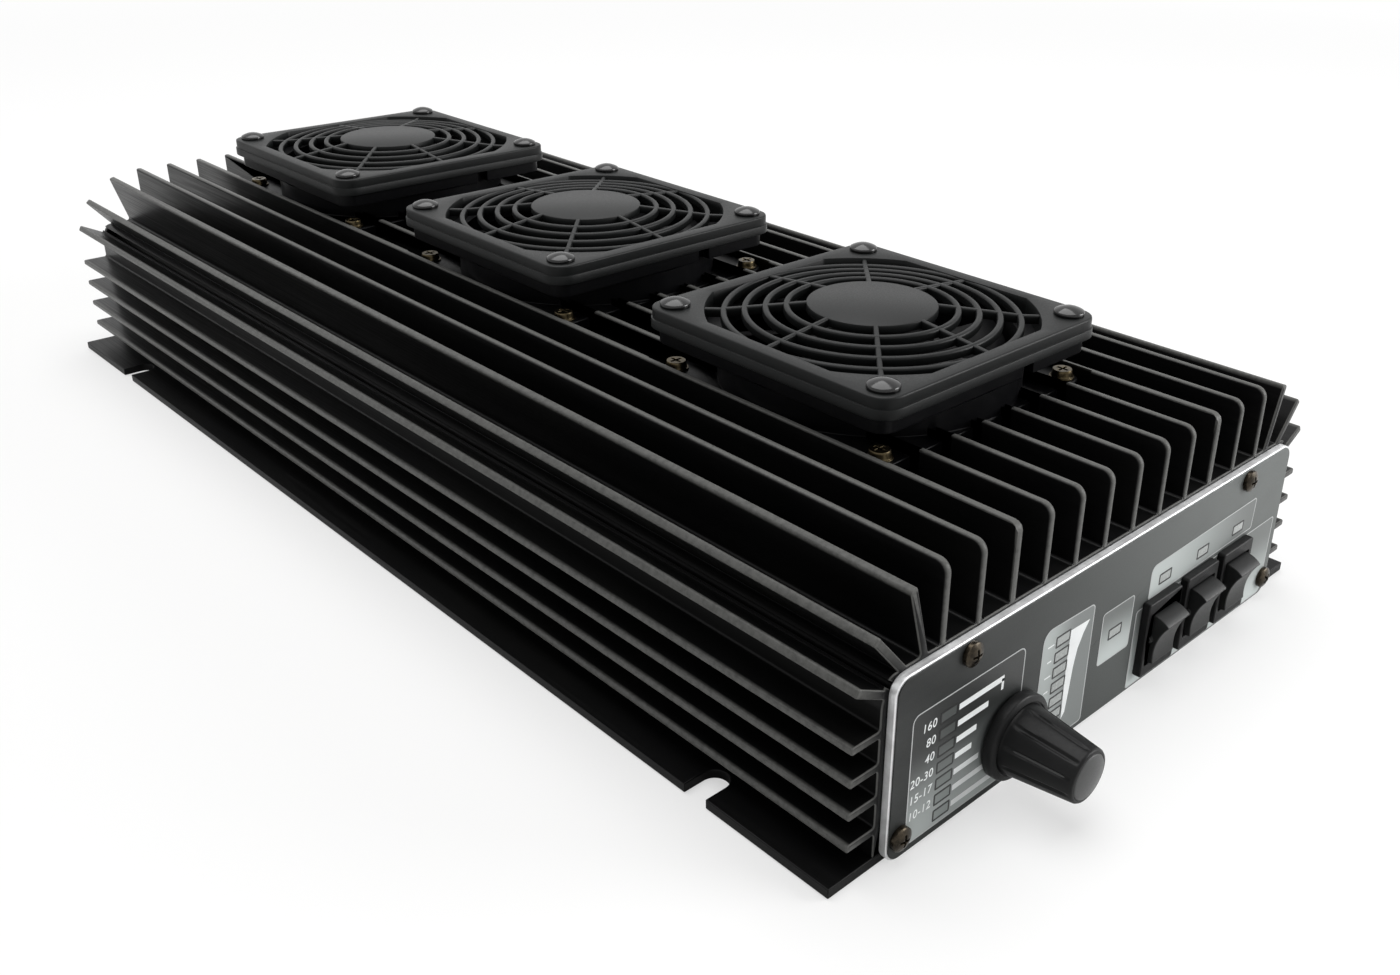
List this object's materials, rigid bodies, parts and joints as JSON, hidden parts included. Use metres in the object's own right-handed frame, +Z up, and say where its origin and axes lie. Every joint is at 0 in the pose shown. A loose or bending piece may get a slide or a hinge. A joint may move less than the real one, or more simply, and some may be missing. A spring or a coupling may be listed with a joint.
{
  "type": "hf linear amplifier",
  "caption": "Finned aluminium amplifier housing with guarded top fans, band knob, rocker switches, indicator windows and rear coaxial sockets.",
  "frame": {"origin": "centre of the bounding box's underside, on the base plate's lower face", "axes": "+Z up, front panel faces -Y, +X to the right seen from the front"},
  "size_m": [0.1894, 0.4486, 0.0832],
  "materials": {
    "black_anodised": "black anodised, satin",
    "bare_aluminium": "brushed, bare",
    "printed_film": "satin printed film",
    "dark_screw": "bronze-black passivated",
    "zinc_screw": "yellow zinc",
    "clear_window": "frosted light guide",
    "circuit_board": "solder mask",
    "plated_metal": "nickel plated",
    "knob_black": "fine matt",
    "knob_cap_grey": "satin",
    "switch_black": "fine matt",
    "rocker_black": "satin",
    "fan_black": "satin",
    "guard_black": "satin",
    "insulator": "satin",
    "toroid_red": "painted powder core",
    "relay_blue": "satin",
    "ferrite": "matt",
    "transistor_body": "gold plated flange",
    "fuse_plastic": "clear tinted",
    "gland_black": "satin"
  },
  "bodies": {
    "chassis": {"heatsink": "black_anodised", "base_plate": "black_anodised", "base_screws": "plated_metal", "front_panel": "bare_aluminium", "front_label": "printed_film", "front_screw_1": "dark_screw", "front_screw_2": "dark_screw", "front_screw_3": "dark_screw", "front_screw_4": "dark_screw", "band_windows": "clear_window", "level_windows": "clear_window", "status_windows": "clear_window", "display_board": "circuit_board", "band_switch": "plated_metal", "switch_nut": "plated_metal", "switch_body_1": "switch_black", "switch_body_2": "switch_black", "switch_body_3": "switch_black", "fan_frame_1": "fan_black", "fan_frame_2": "fan_black", "fan_frame_3": "fan_black", "fan_guard_1": "guard_black", "fan_guard_2": "guard_black", "fan_guard_3": "guard_black", "fan_screws_1": "zinc_screw", "fan_screws_2": "zinc_screw", "fan_screws_3": "zinc_screw", "guard_rivets_1": "guard_black", "guard_rivets_2": "guard_black", "guard_rivets_3": "guard_black", "rear_panel": "black_anodised", "rear_screws": "dark_screw", "coax_socket_1": "plated_metal", "coax_socket_2": "plated_metal", "coax_core_1": "insulator", "coax_core_2": "insulator", "control_jacks": "plated_metal", "cable_gland": "gland_black", "gland_nut": "gland_black", "ground_post": "plated_metal", "power_board": "circuit_board", "filter_board": "circuit_board", "board_spacers": "plated_metal", "filter_toroids": "toroid_red", "band_relays": "relay_blue", "output_transformer": "ferrite", "input_transformer": "ferrite", "power_transistors": "transistor_body", "fuse_block": "gland_black", "blade_fuses": "fuse_plastic"},
    "band_control": {"band_knob": "knob_black", "knob_cap": "knob_cap_grey", "band_shaft": "plated_metal"},
    "rotor_1": {"fan_rotor_1": "fan_black"},
    "switch_1": {"rocker_1": "rocker_black"},
    "rotor_2": {"fan_rotor_2": "fan_black"},
    "switch_2": {"rocker_2": "rocker_black"},
    "rotor_3": {"fan_rotor_3": "fan_black"},
    "switch_3": {"rocker_3": "rocker_black"}
  },
  "joints": [
    {"name": "fan_spin_1", "type": "hinge", "parent": "chassis", "child": "rotor_1", "pos_m": [0, -0.121, 0.07], "axis": [0, 0, 1], "continuous": true},
    {"name": "fan_spin_2", "type": "hinge", "parent": "chassis", "child": "rotor_2", "pos_m": [0, 0, 0.07], "axis": [0, 0, 1], "continuous": true},
    {"name": "fan_spin_3", "type": "hinge", "parent": "chassis", "child": "rotor_3", "pos_m": [0, 0.121, 0.07], "axis": [0, 0, 1], "continuous": true},
    {"name": "band_turn", "type": "hinge", "parent": "chassis", "child": "band_control", "pos_m": [-0.0403, -0.2023, 0.0144], "axis": [0, -1, 0], "range_deg": [-90, 90]},
    {"name": "rocker_tip_1", "type": "hinge", "parent": "chassis", "child": "switch_1", "pos_m": [0.019, -0.204, 0.0149], "axis": [1, 0, 0], "range_deg": [-28, 0]},
    {"name": "rocker_tip_2", "type": "hinge", "parent": "chassis", "child": "switch_2", "pos_m": [0.0368, -0.204, 0.0149], "axis": [1, 0, 0], "range_deg": [-28, 0]},
    {"name": "rocker_tip_3", "type": "hinge", "parent": "chassis", "child": "switch_3", "pos_m": [0.0546, -0.204, 0.0149], "axis": [1, 0, 0], "range_deg": [-28, 0]}
  ]
}
